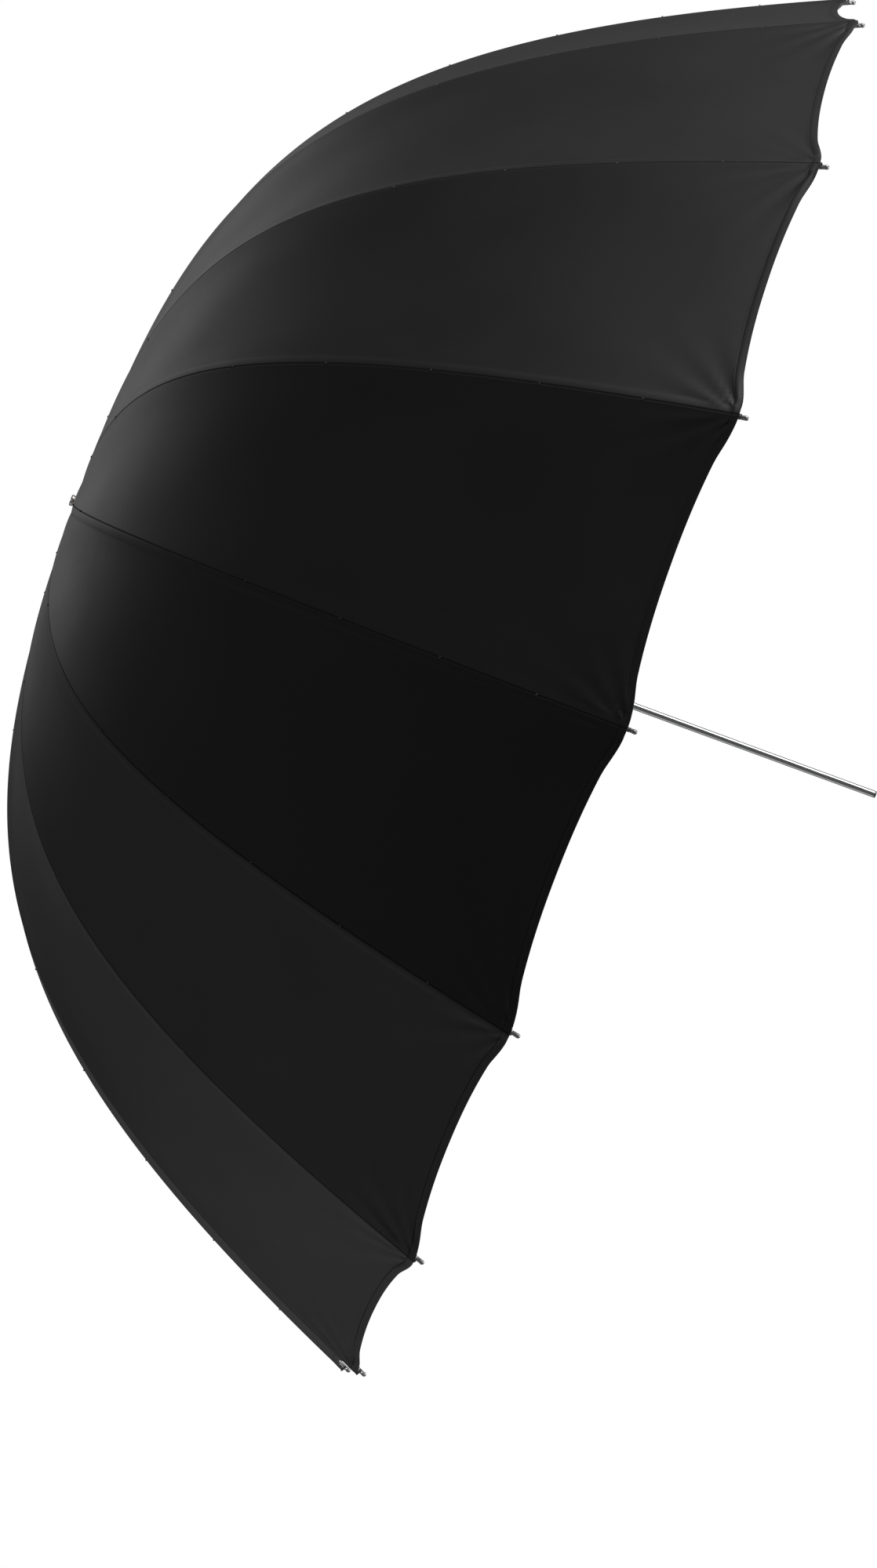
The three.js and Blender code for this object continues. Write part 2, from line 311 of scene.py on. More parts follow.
def addNoise(tree, vector, scale, detail=4.0, roughness=0.55):
    node = tree.nodes.new("ShaderNodeTexNoise")
    nodeInput(tree, vector, node.inputs["Vector"])
    node.inputs["Scale"].default_value = scale
    node.inputs["Detail"].default_value = detail
    node.inputs["Roughness"].default_value = roughness
    return node.outputs["Fac"]


def addRange(tree, value, fromLow, fromHigh, toLow, toHigh):
    node = tree.nodes.new("ShaderNodeMapRange")
    nodeInput(tree, value, node.inputs["Value"])
    for key, number in (("From Min", fromLow), ("From Max", fromHigh), ("To Min", toLow), ("To Max", toHigh)):
        node.inputs[key].default_value = number
    return node.outputs["Result"]


def addMix(tree, factor, first, second):
    node = tree.nodes.new("ShaderNodeMix")
    node.data_type = "RGBA"
    nodeInput(tree, factor, node.inputs[0])
    nodeInput(tree, first, node.inputs[6])
    nodeInput(tree, second, node.inputs[7])
    return node.outputs[2]


def addScaled(tree, vector, scale):
    node = tree.nodes.new("ShaderNodeMapping")
    nodeInput(tree, vector, node.inputs["Vector"])
    node.inputs["Scale"].default_value = scale
    return node.outputs["Vector"]


def newGroup(name, inputs, outputs):
    group = bpy.data.node_groups.new(name, "ShaderNodeTree")
    for label, kind, default in inputs:
        socket = group.interface.new_socket(label, in_out="INPUT", socket_type=kind)
        if default is not None:
            socket.default_value = default
    for label, kind in outputs:
        group.interface.new_socket(label, in_out="OUTPUT", socket_type=kind)
    return group, group.nodes.new("NodeGroupInput").outputs, group.nodes.new("NodeGroupOutput").inputs


yarnLook = {"across": 900, "along": 14}  # slubs are thin across the yarn and long with it


# Plain weave: two sets of rounded threads at right angles, with slubs where the yarn thickens.
def makeWeaveGroup():
    given = [("Cloth", "NodeSocketVector", None), ("Threads", "NodeSocketFloat", 2400.0),
             ("Slubs", "NodeSocketFloat", 0.3)]
    outputs = [("Height", "NodeSocketFloat"), ("Slub", "NodeSocketFloat")]
    tree, given, out = newGroup("plainWeave", given, outputs)
    split = tree.nodes.new("ShaderNodeSeparateXYZ")
    tree.links.new(given["Cloth"], split.inputs[0])
    across = addMath(tree, "SINE", addMath(tree, "MULTIPLY", split.outputs[0], given["Threads"]))
    along = addMath(tree, "SINE", addMath(tree, "MULTIPLY", split.outputs[1], given["Threads"]))
    over = addMath(tree, "MULTIPLY", across, along)
    weave = addMath(tree, "MULTIPLY_ADD", over, 0.35, 0.5)
    fine, coarse = yarnLook["across"], yarnLook["along"]
    warp = addNoise(tree, addScaled(tree, given["Cloth"], (fine, coarse, 1)), 1.0, 3)
    weft = addNoise(tree, addScaled(tree, given["Cloth"], (coarse, fine, 1)), 1.0, 3)
    slub = addMath(tree, "MULTIPLY", addMath(tree, "ADD", warp, weft), 0.5)
    tree.links.new(slub, out["Slub"])
    lift = addMath(tree, "SUBTRACT", slub, 0.5)
    tree.links.new(addMath(tree, "MULTIPLY_ADD", lift, given["Slubs"], weave), out["Height"])
    return tree


# Handling marks: soft smudges and fine scratches, as masks from 0 to 1.
def makeHandlingGroup():
    given = [("Place", "NodeSocketVector", None), ("Smudge Size", "NodeSocketFloat", 30.0),
             ("Scratch Size", "NodeSocketFloat", 900.0)]
    outputs = [("Smudge", "NodeSocketFloat"), ("Scratch", "NodeSocketFloat")]
    tree, given, out = newGroup("handlingMarks", given, outputs)
    smudge = tree.nodes.new("ShaderNodeTexNoise")
    tree.links.new(given["Place"], smudge.inputs["Vector"])
    tree.links.new(given["Smudge Size"], smudge.inputs["Scale"])
    smudge.inputs["Detail"].default_value = 5
    tree.links.new(addRange(tree, smudge.outputs["Fac"], 0.35, 0.7, 0, 1), out["Smudge"])
    scratch = tree.nodes.new("ShaderNodeTexNoise")
    tree.links.new(addScaled(tree, given["Place"], (0.03, 1, 1)), scratch.inputs["Vector"])
    tree.links.new(given["Scratch Size"], scratch.inputs["Scale"])
    scratch.inputs["Detail"].default_value = 2
    tree.links.new(addRange(tree, scratch.outputs["Fac"], 0.45, 0.62, 0, 1), out["Scratch"])
    return tree


weaveGroup = makeWeaveGroup()
handlingGroup = makeHandlingGroup()


def useGroup(tree, group, **values):
    node = tree.nodes.new("ShaderNodeGroup")
    node.node_tree = group
    for key, value in values.items():
        nodeInput(tree, value, node.inputs[key.replace("_", " ")])
    return node.outputs


def newMaterial(name, **values):
    material = bpy.data.materials.new(name)
    material.use_nodes = True
    tree = material.node_tree
    surface = tree.nodes["Principled BSDF"]
    for key, value in values.items():
        surface.inputs[key].default_value = value
    return material, tree, surface


def addBump(tree, surface, height, strength, distance):
    node = tree.nodes.new("ShaderNodeBump")
    node.inputs["Strength"].default_value = strength
    node.inputs["Distance"].default_value = distance
    tree.links.new(height, node.inputs["Height"])
    tree.links.new(node.outputs["Normal"], surface.inputs["Normal"])


def objectPlace(tree):
    return tree.nodes.new("ShaderNodeTexCoord").outputs["Object"]


def clothMap(tree):
    node = tree.nodes.new("ShaderNodeUVMap")
    node.uv_map = "cloth"
    return node.outputs["UV"]


def attributeValue(tree, name):
    node = tree.nodes.new("ShaderNodeAttribute")
    node.attribute_name = name
    return node.outputs["Fac"]


clothLook = {
    "black": (0.0085, 0.0085, 0.0095, 1),
    "blackWorn": (0.013, 0.013, 0.0145, 1),
    "thread": (0.0025, 0.0025, 0.0028, 1),
    "silver": (0.74, 0.75, 0.77, 1),
    "silverDull": (0.58, 0.59, 0.61, 1),
    "seamLine": 0.0011,  # half width of the sewn line
    "stitchPitch": 0.0031,
    "hemLine": (0.0085, 0.0003, 0.0006),  # hem edge to the line, and the line's half width with its soft edge
}


# 1 on the sewn dashes, which follow the seam over the rib and the hem's inner edge.
def stitchMask(tree, uv):
    split = tree.nodes.new("ShaderNodeSeparateXYZ")
    tree.links.new(uv, split.inputs[0])
    seamGap = addMath(tree, "ABSOLUTE", split.outputs[0])
    onSeam = addRange(tree, seamGap, clothLook["seamLine"] * 0.6, clothLook["seamLine"], 1, 0)
    hemGap = attributeValue(tree, "hemGap")
    hemLine, hard, soft = clothLook["hemLine"]
    offLine = addMath(tree, "ABSOLUTE", addMath(tree, "SUBTRACT", hemGap, hemLine))
    onHem = addRange(tree, offLine, hard, soft, 1, 0)
    beatAlong = addMath(tree, "FRACT", addMath(tree, "DIVIDE", split.outputs[1], clothLook["stitchPitch"]))
    beatAcross = addMath(tree, "FRACT", addMath(tree, "DIVIDE", split.outputs[0], clothLook["stitchPitch"]))
    seamDash = addMath(tree, "MULTIPLY", onSeam, addRange(tree, beatAlong, 0.22, 0.34, 0.35, 1))
    hemDash = addMath(tree, "MULTIPLY", onHem, addRange(tree, beatAcross, 0.22, 0.34, 0.2, 1))
    return addMath(tree, "MAXIMUM", seamDash, hemDash)


def makeBlackCloth():
    material, tree, surface = newMaterial("blackCloth", **{
        "Specular IOR Level": 0.42, "Sheen Weight": 0.12, "Sheen Roughness": 0.35})
    uv = clothMap(tree)
    place = objectPlace(tree)
    weave = useGroup(tree, weaveGroup, Cloth=uv, Threads=9000.0, Slubs=0.5)
    marks = useGroup(tree, handlingGroup, Place=place, Smudge_Size=7.0, Scratch_Size=260.0)
    stitch = stitchMask(tree, uv)
    worn = addRange(tree, weave["Slub"], 0.35, 0.65, 0, 0.5)
    shade = addMath(tree, "MULTIPLY_ADD", marks["Smudge"], 0.5, worn)
    colour = addMix(tree, shade, clothLook["black"], clothLook["blackWorn"])
    tree.links.new(addMix(tree, stitch, colour, clothLook["thread"]), surface.inputs["Base Color"])
    satin = addRange(tree, weave["Slub"], 0.3, 0.7, 0.44, 0.52)
    rough = addMath(tree, "MULTIPLY_ADD", marks["Smudge"], 0.07, satin)
    tree.links.new(addMath(tree, "MULTIPLY_ADD", stitch, 0.45, rough), surface.inputs["Roughness"])
    height = addMath(tree, "MULTIPLY_ADD", weave["Height"], 0.25, addMath(tree, "MULTIPLY", stitch, -2.5))
    addBump(tree, surface, height, 0.35, 0.0002)
    return material


def makeSilverLining():
    material, tree, surface = newMaterial("silverLining", **{"Metallic": 0.85, "Specular IOR Level": 0.5})
    uv = clothMap(tree)
    place = objectPlace(tree)
    weave = useGroup(tree, weaveGroup, Cloth=uv, Threads=7000.0, Slubs=0.6)
    marks = useGroup(tree, handlingGroup, Place=place, Smudge_Size=9.0, Scratch_Size=240.0)
    crease = addNoise(tree, addScaled(tree, uv, (9, 5, 1)), 6.0, 6, 0.6)
    dulled = addMath(tree, "MULTIPLY", marks["Smudge"], 0.6)
    colour = addMix(tree, dulled, clothLook["silver"], clothLook["silverDull"])
    stitch = stitchMask(tree, uv)
    tree.links.new(addMix(tree, stitch, colour, (0.2, 0.2, 0.21, 1)), surface.inputs["Base Color"])
    tree.links.new(addRange(tree, weave["Slub"], 0.3, 0.7, 0.3, 0.42), surface.inputs["Roughness"])
    height = addMath(tree, "MULTIPLY_ADD", weave["Height"], 0.2, addMath(tree, "MULTIPLY", crease, 1.6))
    addBump(tree, surface, height, 0.3, 0.0006)
    return material


# Plated or drawn metal: brushed along the part, smudged where hands reach it.
def makeMetal(name, colour, worn, rough, brushed, metallic=1.0, scratchSize=1400.0):
    material, tree, surface = newMaterial(name, **{"Metallic": metallic})
    place = objectPlace(tree)
    marks = useGroup(tree, handlingGroup, Place=place, Smudge_Size=55.0, Scratch_Size=scratchSize)
    tree.links.new(addMix(tree, addMath(tree, "MULTIPLY", marks["Smudge"], 0.5), colour, worn),
                   surface.inputs["Base Color"])
    scuff = addMath(tree, "MULTIPLY", marks["Scratch"], brushed)
    tree.links.new(addMath(tree, "MULTIPLY_ADD", marks["Smudge"], 0.07, addMath(tree, "ADD", scuff, rough)),
                   surface.inputs["Roughness"])
    addBump(tree, surface, marks["Scratch"], 0.08, 0.00005)
    return material


# Moulded or pulled plastic with a fine grain.
def makePlastic(name, colour, worn, rough, grain):
    material, tree, surface = newMaterial(name, **{"Specular IOR Level": 0.5})
    place = objectPlace(tree)
    marks = useGroup(tree, handlingGroup, Place=place, Smudge_Size=40.0, Scratch_Size=700.0)
    fine = addNoise(tree, place, grain, 3)
    tree.links.new(addMix(tree, marks["Smudge"], colour, worn), surface.inputs["Base Color"])
    tree.links.new(addRange(tree, fine, 0.3, 0.7, rough - 0.06, rough + 0.08), surface.inputs["Roughness"])
    addBump(tree, surface, addMath(tree, "MULTIPLY_ADD", marks["Scratch"], 0.3, fine), 0.2, 0.0001)
    return material


# Sewing thread: twisted plies.
def makeThread():
    material, tree, surface = newMaterial("blackThread", **{"Sheen Weight": 0.3})
    place = objectPlace(tree)
    ply = addNoise(tree, place, 2600.0, 2)
    colour = addMix(tree, ply, (0.02, 0.02, 0.021, 1), (0.09, 0.09, 0.09, 1))
    tree.links.new(colour, surface.inputs["Base Color"])
    tree.links.new(addRange(tree, ply, 0.3, 0.7, 0.3, 0.5), surface.inputs["Roughness"])
    addBump(tree, surface, ply, 0.4, 0.0001)
    return material


blackCloth = makeBlackCloth()
silverLining = makeSilverLining()
chromeTube = makeMetal("chromeTube", (0.72, 0.73, 0.75, 1), (0.6, 0.61, 0.62, 1), 0.1, 0.12)
satinNickel = makeMetal("satinNickel", (0.86, 0.84, 0.81, 1), (0.7, 0.68, 0.66, 1), 0.24, 0.12, 0.85)
gunmetal = makeMetal("gunmetal", (0.46, 0.45, 0.45, 1), (0.33, 0.32, 0.32, 1), 0.3, 0.15, 0.9)
zincSteel = makeMetal("zincSteel", (0.52, 0.53, 0.55, 1), (0.38, 0.38, 0.39, 1), 0.3, 0.06,
                      scratchSize=4200.0)
pulledGlass = makePlastic("pulledGlass", (0.012, 0.012, 0.012, 1), (0.03, 0.03, 0.031, 1), 0.36, 1800)
mouldedNylon = makePlastic("mouldedNylon", (0.016, 0.016, 0.017, 1), (0.03, 0.03, 0.031, 1), 0.5, 2600)
sewingThread = makeThread()
print("materials made")


def paint(piece, *materials):
    piece.data.materials.clear()
    for material in materials:
        piece.data.materials.append(material)
    return piece


# The cover: gores sewn along the ribs, with a turned hem.
clothSetup = {
    "holeRadius": 3.6 * mm,
    "thickness": 0.5 * mm,
    "hemDip": 15.6 * mm,  # how far the hem curves in between tips
    "hemPower": 2.2,
    "hemShoulder": 0.16,  # share of a panel over which the hem rounds off into a tip
    "hemBand": 9.5 * mm,
    "hemRise": 0.35 * mm,
    "seamRows": (0.0, 0.9 * mm, 2.2 * mm, 7.6 * mm, 9.0 * mm, 11.0 * mm),  # columns held beside a seam
    "allowance": 8.4 * mm,  # the turned-over seam allowance, on one side of every seam
    "allowanceRise": 0.38 * mm,
    "allowanceTurn": 8,  # the allowance lies on one side up to this rib, and on the other after it
    "stitchDepth": 0.35 * mm,
    "hemStitch": 8.5 * mm,
    "panelColumns": 26,
    "innerRows": 56,
    "outerRows": 110,
    "hemRows": (12 * mm, 10.5 * mm, 9.3 * mm, 8.5 * mm, 7.6 * mm, 4 * mm, 1.2 * mm, 0.0),
    "panelSag": 3.0 * mm,
    "gatherHeight": 1.6 * mm,
    "gatherReach": 40 * mm,
    "gatherFolds": 15,
    "rippleHeight": 0.7 * mm,
    "foldedKeep": {True: 0.32, False: 0.19},  # share of the width left when folded, inner and outer
}


def clothArcAtHem(share):
    edge = np.minimum(share, 1 - share)
    rounding = 0.1 + 0.9 * softStep(edge, 0, clothSetup["hemShoulder"])
    dip = 1 - np.abs(1 - 2 * share) ** clothSetup["hemPower"]
    return clothLength - clothSetup["hemDip"] * dip * rounding


def softStep(value, low, high):
    t = np.clip((value - low) / (high - low), 0, 1)
    return t * t * (3 - 2 * t)


# Height of the cloth above its drawn-tight face: seam allowance, hem fold, gathers at the tips and ripples.
def clothRise(arc, seamGap, side, hemGap, share, index):
    setup = clothSetup
    panel = (index if side > 0 else index - 1) % ribTotal
    allowanceSide = 1 if 0 < index < setup["allowanceTurn"] else -1
    across = share if side > 0 else 1 - share
    edge = setup["allowance"]
    fold = softStep(seamGap, 0.3 * mm, 1.6 * mm) * (1 - softStep(seamGap, edge, edge + 1.2 * mm))
    fold = fold * (1 - softStep(share, 0.3, 0.48))  # panels near the crown are narrower than the allowance
    rise = np.where(side == allowanceSide, fold * setup["allowanceRise"], 0)
    rise -= setup["stitchDepth"] * (1 - softStep(seamGap, 0, 1.0 * mm))
    band = setup["hemBand"]
    rise += setup["hemRise"] * (1 - softStep(hemGap, band - 0.8 * mm, band + 0.4 * mm))
    rise -= setup["stitchDepth"] * np.exp(-((hemGap - setup["hemStitch"]) / (0.5 * mm)) ** 2)
    reach = np.hypot(seamGap, clothLength - arc)
    around = np.arctan2(clothLength - arc, seamGap)
    wave = np.sin(setup["gatherFolds"] * around + 1.7 * index + side)
    fade = np.exp(-reach / setup["gatherReach"]) * softStep(reach, 0, 22 * mm) * softStep(seamGap, 0, 14 * mm)
    rise += setup["gatherHeight"] * wave * fade * (1 - softStep(share, 0.3, 0.5))
    swell = np.sin(arc * 19 + 2.3 * panel) * np.sin(2 * math.pi * across + panel)
    rise += setup["rippleHeight"] * swell * softStep(share, 0, 0.2) * softStep(hemGap, 0, 80 * mm)
    return rise - setup["panelSag"] * 4 * share * (1 - share) * softStep(arc, 60 * mm, 300 * mm)


# A point of the cloth beside a rib: side is -1 or 1, share runs from the rib (0) to the panel's middle (0.5).
def clothPoint(index, side, share, arc):
    here = ribStep * index
    there = here + side * ribStep
    x, radius = linePoint(arc)
    y = -(1 - share) * radius * np.cos(here) - share * radius * np.cos(there)
    z = (1 - share) * radius * np.sin(here) + share * radius * np.sin(there)
    seamGap = 2 * radius * math.sin(ribStep / 2) * share
    hemGap = clothArcAtHem(share) - arc
    rise = clothRise(arc, seamGap, side, hemGap, share, index)
    middle = here + side * ribStep / 2
    outX = -np.interp(arc, lineArcs, lineAlong[:, 1])
    outRadius = np.interp(arc, lineArcs, lineAlong[:, 0])
    return (x + outX * rise, y - outRadius * np.cos(middle) * rise, z + outRadius * np.sin(middle) * rise,
            seamGap * side, hemGap)


# Shares of the panel that the columns stand at: some keep a fixed distance from the seam.
def columnShares(radius):
    setup = clothSetup
    half = setup["panelColumns"]
    chord = 2 * radius * math.sin(ribStep / 2)
    even = 0.5 * np.arange(half + 1) / half
    fixed = [min(gap / chord, even[k]) for k, gap in enumerate(setup["seamRows"])]
    rest = fixed[-1] + (0.5 - fixed[-1]) * np.linspace(0, 1, half - len(fixed) + 2)[1:] ** 1.35
    return np.array(fixed + list(rest))


def rowArcs(share, isInner):
    setup = clothSetup
    if isInner:
        start = setup["holeRadius"] - clothLine["flatRadius"]
        return np.linspace(start, ribLayout["bendArc"], setup["innerRows"] + 1)
    end = clothArcAtHem(share)
    body = np.linspace(ribLayout["bendArc"], end - 16 * mm, setup["outerRows"] - len(setup["hemRows"]) + 1)
    return np.concatenate([body, [end - gap for gap in setup["hemRows"]]])


# Shares and arc lengths of the corners down one column; its distance from the seam hangs on the radius.
def columnStops(k, isInner):
    rows = clothSetup["innerRows"] if isInner else clothSetup["outerRows"]
    shares = np.full(rows + 1, 0.5 * k / clothSetup["panelColumns"])
    for _ in range(3):
        arcs = np.array([rowArcs(share, isInner)[row] for row, share in enumerate(shares)])
        radii = np.maximum(linePoint(arcs)[1], clothSetup["holeRadius"])
        shares = np.array([columnShares(radius)[k] for radius in radii])
    return shares, arcs


# One stretch of cloth over one rib, to the middle of the panel on each side of it.
def clothStretch(index, isInner):
    setup = clothSetup
    half = setup["panelColumns"]
    rows = setup["innerRows"] if isInner else setup["outerRows"]
    name = f"cloth_{'inner' if isInner else 'outer'}_{index + 1:02d}"
    bpy.ops.mesh.primitive_grid_add(x_subdivisions=2 * half, y_subdivisions=rows, size=1, calc_uvs=True)
    piece = newPiece(name)
    count = len(piece.data.vertices)
    grid = np.zeros(count * 3)
    piece.data.vertices.foreach_get("co", grid)
    grid = grid.reshape(-1, 3)
    column = np.rint((grid[:, 0] + 0.5) * 2 * half).astype(int) - half
    row = np.rint((grid[:, 1] + 0.5) * rows).astype(int)
    places = np.zeros((count, 3))
    gaps = np.zeros((count, 3))
    for side in (-1, 1):
        for k in range(half + 1):
            chosen = (column == side * k)
            shares, arcs = columnStops(k, isInner)
            x, y, z, seam, hem = clothPoint(index, side, shares[row[chosen]], arcs[row[chosen]])
            places[chosen] = np.stack([x, y, z], 1)
            gaps[chosen] = np.stack([seam, arcs[row[chosen]], hem], 1)
    piece.data.vertices.foreach_set("co", places.ravel())
    piece.data.uv_layers[0].name = "cloth"
    corners = np.zeros(len(piece.data.loops), int)
    piece.data.loops.foreach_get("vertex_index", corners)
    piece.data.uv_layers["cloth"].data.foreach_set("uv", gaps[corners][:, :2].ravel())
    hemGap = piece.data.attributes.new("hemGap", "FLOAT", "POINT")
    hemGap.data.foreach_set("value", gaps[:, 2])
    faceOutwards(piece)
    paint(piece, blackCloth, silverLining)
    finishWith(piece, "SOLIDIFY", thickness=setup["thickness"], offset=-1, material_offset=1,
               material_offset_rim=0)
    return smooth(piece, 60)


# The sheet's black face looks away from the shaft's axis and from the rim.
def faceOutwards(piece):
    face = piece.data.polygons[len(piece.data.polygons) // 2]
    outward = Vector((-0.2, face.center.y, face.center.z))
    if face.normal.dot(outward) < 0:
        pick(piece)
        bpy.ops.object.mode_set(mode="EDIT")
        bpy.ops.mesh.select_all(action="SELECT")
        bpy.ops.mesh.flip_normals()
        objectMode()


# Flat width, length and area of the cut that makes one stretch.
def clothCut(isInner):
    first = 0.0 if isInner else ribLayout["bendArc"]
    last = ribLayout["bendArc"] if isInner else clothLength
    arcs = np.linspace(first, last, 200)
    widths = 2 * linePoint(arcs)[1] * math.sin(ribStep / 2)
    area = float(np.sum((widths[1:] + widths[:-1]) / 2 * np.diff(arcs)))
    if not isInner:
        power = clothSetup["hemPower"]
        area -= float(widths[-1]) * clothSetup["hemDip"] * power / (power + 1)
    return (float(widths[-1]), last - first), area


def addCanopy():
    cuts = {isInner: clothCut(isInner) for isInner in (True, False)}
    for index in range(ribTotal):
        label = f"{index + 1:02d}"
        for isInner in (True, False):
            piece = clothStretch(index, isInner)
            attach(piece, f"rib_{'inner' if isInner else 'outer'}_{label}")
            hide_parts("canopy")
            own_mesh(piece)
    print("canopy made, one gore is cut", [round(v, 3) for v in (cuts[False][0][0], clothLength)])


addCanopy()


# Along and inwards directions, in the first rib's plane, of the line at an arc length from the crown.
def ribDirections(arc):
    alongX = float(np.interp(arc, lineArcs, lineAlong[:, 0]))
    alongRadius = float(np.interp(arc, lineArcs, lineAlong[:, 1]))
    return Vector((alongX, -alongRadius, 0)), Vector((alongRadius, alongX, 0))


# A round rod along the rib, extruded stop by stop; each stop is an arc length and a radius.
def lineRod(name, stops, sides=16):
    bpy.ops.mesh.primitive_circle_add(vertices=sides, radius=1, fill_type="NGON",
                                      rotation=(0, math.pi / 2, 0))
    piece = settle(newPiece(name))
    bpy.ops.object.mode_set(mode="EDIT")
    bpy.ops.mesh.select_all(action="SELECT")
    for _ in stops[1:]:
        bpy.ops.mesh.extrude_region_move(TRANSFORM_OT_translate={"value": (1, 0, 0)})
    objectMode()
    for vertex in piece.data.vertices:
        arc, radius = stops[round(vertex.co.x)]
        _, inwards = ribDirections(arc)
        offset = inwards * vertex.co.y + Vector((0, 0, vertex.co.z))
        vertex.co = ribPoint(arc, ribLayout["rodDepth"]) + offset * radius
    return smooth(fixNormals(piece))


def evenStops(fromArc, toArc, count, radius):
    return [(fromArc + (toArc - fromArc) * k / count, radius) for k in range(count + 1)]


# A headed rivet across the rib's plane, its ends domed.
def rivet(name, centre, radius, length, headRadius):
    pieces = [crossBar(name, centre, radius, length, 16)]
    for side in (-1, 1):
        place = (centre.x, centre.y, side * (length / 2 - 0.1 * mm))
        bpy.ops.mesh.primitive_uv_sphere_add(segments=16, ring_count=8, radius=headRadius, location=place)
        head = newPiece(name)
        head.scale = (1, 1, 0.45)
        pieces.append(settle(head))
    return smooth(joined(pieces, name), 40)


tieSetup = {
    "thread": 0.3 * mm,
    "reach": 2.05 * mm,
    "stitch": 0.35 * mm,  # how far the loop stands above the cloth
    "skew": 0.3,
    "innerArcs": (0.13, 0.265),
    "outerArcs": (0.527, 0.655, 0.78, 0.90, 1.01),
    "pair": 0.9 * mm,
}


# Thread sewn round the rod and up through the cloth, so that one stitch shows on the seam outside.
def threadTie(name, arc):
    setup = tieSetup
    bpy.ops.mesh.primitive_torus_add(major_radius=setup["reach"], minor_radius=setup["thread"],
                                     major_segments=24, minor_segments=6, rotation=(0, math.pi / 2, 0))
    loop = settle(newPiece(name))
    stretch = (ribLayout["rodDepth"] + setup["stitch"]) / setup["reach"]
    for vertex in loop.data.vertices:
        inwards = ribDirections(arc + vertex.co.x)[1]
        depth = vertex.co.y * (stretch if vertex.co.y < 0 else 1)
        middle = ribPoint(arc + vertex.co.x + setup["skew"] * vertex.co.z, ribLayout["rodDepth"])
        vertex.co = middle + inwards * depth + Vector((0, 0, vertex.co.z))
    return smooth(loop, 60)


def tieRow(name, arcs):
    loops = [threadTie(name, arc + side * tieSetup["pair"] / 2) for arc in arcs for side in (-1, 1)]
    return paint(joined(loops, name), sewingThread)


# Inner ribs: rod, crimped steel eye, and the bracket for the strut.
innerSetup = {
    "rodStart": 20 * mm,
    "gap": 0.3 * mm,
    "eyeEnd": 30 * mm,
    "eyeHalf": 2 * mm,
    "eyeThickness": 3 * mm,
    "eyeHole": 0.95 * mm,
    "crimp": (21 * mm, 36 * mm, 2.35 * mm),
    "crimpMarks": (24.5 * mm, 28.5 * mm, 32.5 * mm),
    "sleeveStart": 389 * mm,
    "sleeveWidth": 5.6 * mm,
    "sleeveTop": 2.2 * mm,
    "sleeveBottom": 3 * mm,
    "lugHalf": 2.9 * mm,
    "lugThickness": 2.4 * mm,
    "lugHole": 1.1 * mm,
}


def ribEye():
    setup = innerSetup
    far = ribPoint(setup["eyeEnd"], ribLayout["rodDepth"])
    tongue = platePiece("eye", linkOutline(ribPivot, far, setup["eyeHalf"]), setup["eyeThickness"])
    cutWith(tongue, crossBar("hole", ribPivot, setup["eyeHole"], 9 * mm))
    roundEdges(tongue, 0.3 * mm)
    start, end, radius = setup["crimp"]
    stops = [(start, radius * 0.8), (start + 0.5 * mm, radius)]
    for mark in setup["crimpMarks"]:
        stops += [(mark - 1 * mm, radius), (mark - 0.4 * mm, radius * 0.84), (mark + 0.4 * mm, radius * 0.84),
                  (mark + 1 * mm, radius)]
    stops += [(end - 0.4 * mm, radius), (end, radius * 0.82)]
    return paint(smooth(joined([tongue, lineRod("crimp", stops, 20)], "rib_eye")), zincSteel)


def strutBracket():
    setup = innerSetup
    depth = ribLayout["rodDepth"]
    end = ribLayout["bendArc"] - setup["gap"]
    middleArc = (setup["sleeveStart"] + end) / 2
    along, inwards = ribDirections(middleArc)
    height = setup["sleeveTop"] + setup["sleeveBottom"]
    middle = ribPoint(middleArc, depth) + inwards * (setup["sleeveBottom"] - setup["sleeveTop"]) / 2
    sleeve = blockAlong("sleeve", middle, along, (end - setup["sleeveStart"], height, setup["sleeveWidth"]))
    roundEdges(sleeve, 1.5 * mm, 4)
    lug = platePiece("lug", linkOutline(ribPoint(ribLayout["jointArc"], depth + 2 * mm), strutPivot,
                                        setup["lugHalf"]), setup["lugThickness"])
    cutWith(lug, crossBar("hole", strutPivot, setup["lugHole"], 9 * mm))
    roundEdges(lug, 0.35 * mm)
    band = [(setup["sleeveStart"] - 4 * mm, 1.9 * mm), (setup["sleeveStart"] - 3.6 * mm, 2.3 * mm),
            (setup["sleeveStart"] + 1 * mm, 2.6 * mm)]
    pieces = [sleeve, lug, lineRod("band", band, 20)]
    return paint(smooth(joined(pieces, "rib_bracket")), mouldedNylon)


def addInnerRibs():
    setup = innerSetup
    end = ribLayout["bendArc"] - setup["gap"]
    rod = lineRod("inner_rod", evenStops(setup["rodStart"], end, 36, ribLayout["rodRadius"]))
    paint(rod, pulledGlass)
    copyRound(rod, "rib_inner", "rib_inner")
    copyRound(ribEye(), "rib_inner", "rib_inner")
    copyRound(strutBracket(), "rib_inner", "rib_inner")
    copyRound(tieRow("inner_ties", tieSetup["innerArcs"]), "rib_inner")


# Outer ribs: rod and the turned cap at the rim.
outerSetup = {
    "capBack": 14 * mm,
    "capRadius": 2.4 * mm,
    "neckRadius": 1.7 * mm,
    "eyeOutside": 2.3 * mm,
    "bulbRadius": 2.55 * mm,
    "neck": (1.3 * mm, 4.4 * mm),
    "tip": 8.6 * mm,
    "eyeRadius": 0.95 * mm,
    "capLoops": (-0.4 * mm, 0.2 * mm, 0.8 * mm),
}


